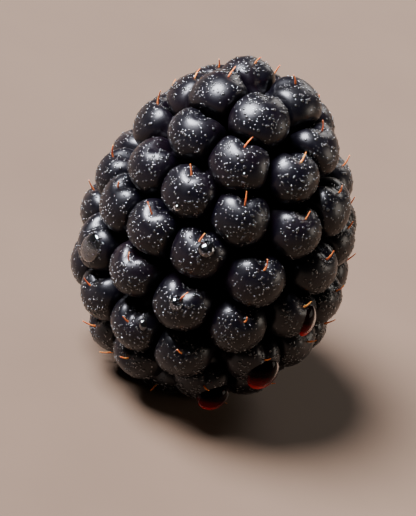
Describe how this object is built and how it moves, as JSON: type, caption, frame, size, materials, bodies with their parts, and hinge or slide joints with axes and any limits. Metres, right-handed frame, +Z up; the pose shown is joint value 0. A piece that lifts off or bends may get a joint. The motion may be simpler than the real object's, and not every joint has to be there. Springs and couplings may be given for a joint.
{
  "type": "bramble berry",
  "caption": "Ripe bramble berry, egg-shaped, upright on its stem end: rows of glossy near-black drupelets with dried styles, pressed together round a pale core.",
  "frame": {"origin": "middle of the underside, on the surface that the berry stands on", "axes": "+Z up, from the stem-end scar to the apex; -Y the front; +X to the right seen from the front"},
  "size_m": [0.0246, 0.0247, 0.031],
  "materials": {
    "drupelet_skin": "glossy near-black fruit skin with a blue-violet cast, beaded with dew",
    "receptacle_pith": "matt pale pith, stained dark by juice away from the scar",
    "dried_style": "dry orange-brown hair",
    "clear_water": "clear water drops and dew",
    "berry_juice": "clear dark red juice"
  },
  "bodies": {
    "root": {"apex_cluster": "drupelet_skin", "drupelet_4_01": "drupelet_skin", "drupelet_4_02": "drupelet_skin", "drupelet_4_03": "drupelet_skin", "drupelet_4_04": "drupelet_skin", "drupelet_4_05": "drupelet_skin", "drupelet_4_06": "drupelet_skin", "drupelet_4_07": "drupelet_skin", "drupelet_4_08": "drupelet_skin", "drupelet_4_09": "drupelet_skin", "drupelet_4_10": "drupelet_skin", "drupelet_4_11": "drupelet_skin", "drupelet_4_12": "drupelet_skin", "drupelet_4_13": "drupelet_skin", "drupelet_5_01": "drupelet_skin", "drupelet_5_02": "drupelet_skin", "drupelet_5_03": "drupelet_skin", "drupelet_5_04": "drupelet_skin", "drupelet_5_05": "drupelet_skin", "drupelet_5_06": "drupelet_skin", "drupelet_5_07": "drupelet_skin", "drupelet_5_08": "drupelet_skin", "drupelet_5_09": "drupelet_skin", "drupelet_5_10": "drupelet_skin", "drupelet_5_11": "drupelet_skin", "drupelet_5_12": "drupelet_skin", "drupelet_5_13": "drupelet_skin", "drupelet_6_01": "drupelet_skin", "drupelet_6_02": "drupelet_skin", "drupelet_6_03": "drupelet_skin", "drupelet_6_04": "drupelet_skin", "drupelet_6_05": "drupelet_skin", "drupelet_6_06": "drupelet_skin", "drupelet_6_07": "drupelet_skin", "drupelet_6_08": "drupelet_skin", "drupelet_6_09": "drupelet_skin", "drupelet_6_10": "drupelet_skin", "drupelet_6_11": "drupelet_skin", "drupelet_6_12": "drupelet_skin", "drupelet_6_13": "drupelet_skin", "drupelet_7_01": "drupelet_skin", "drupelet_7_02": "drupelet_skin", "drupelet_7_03": "drupelet_skin", "drupelet_7_04": "drupelet_skin", "drupelet_7_05": "drupelet_skin", "drupelet_7_06": "drupelet_skin", "drupelet_7_07": "drupelet_skin", "drupelet_7_08": "drupelet_skin", "drupelet_7_09": "drupelet_skin", "drupelet_7_10": "drupelet_skin", "drupelet_8_01": "drupelet_skin", "drupelet_8_02": "drupelet_skin", "drupelet_8_03": "drupelet_skin", "drupelet_8_04": "drupelet_skin", "drupelet_8_05": "drupelet_skin", "drupelet_8_06": "drupelet_skin", "drupelet_8_07": "drupelet_skin", "receptacle": "receptacle_pith"}
  },
  "joints": []
}
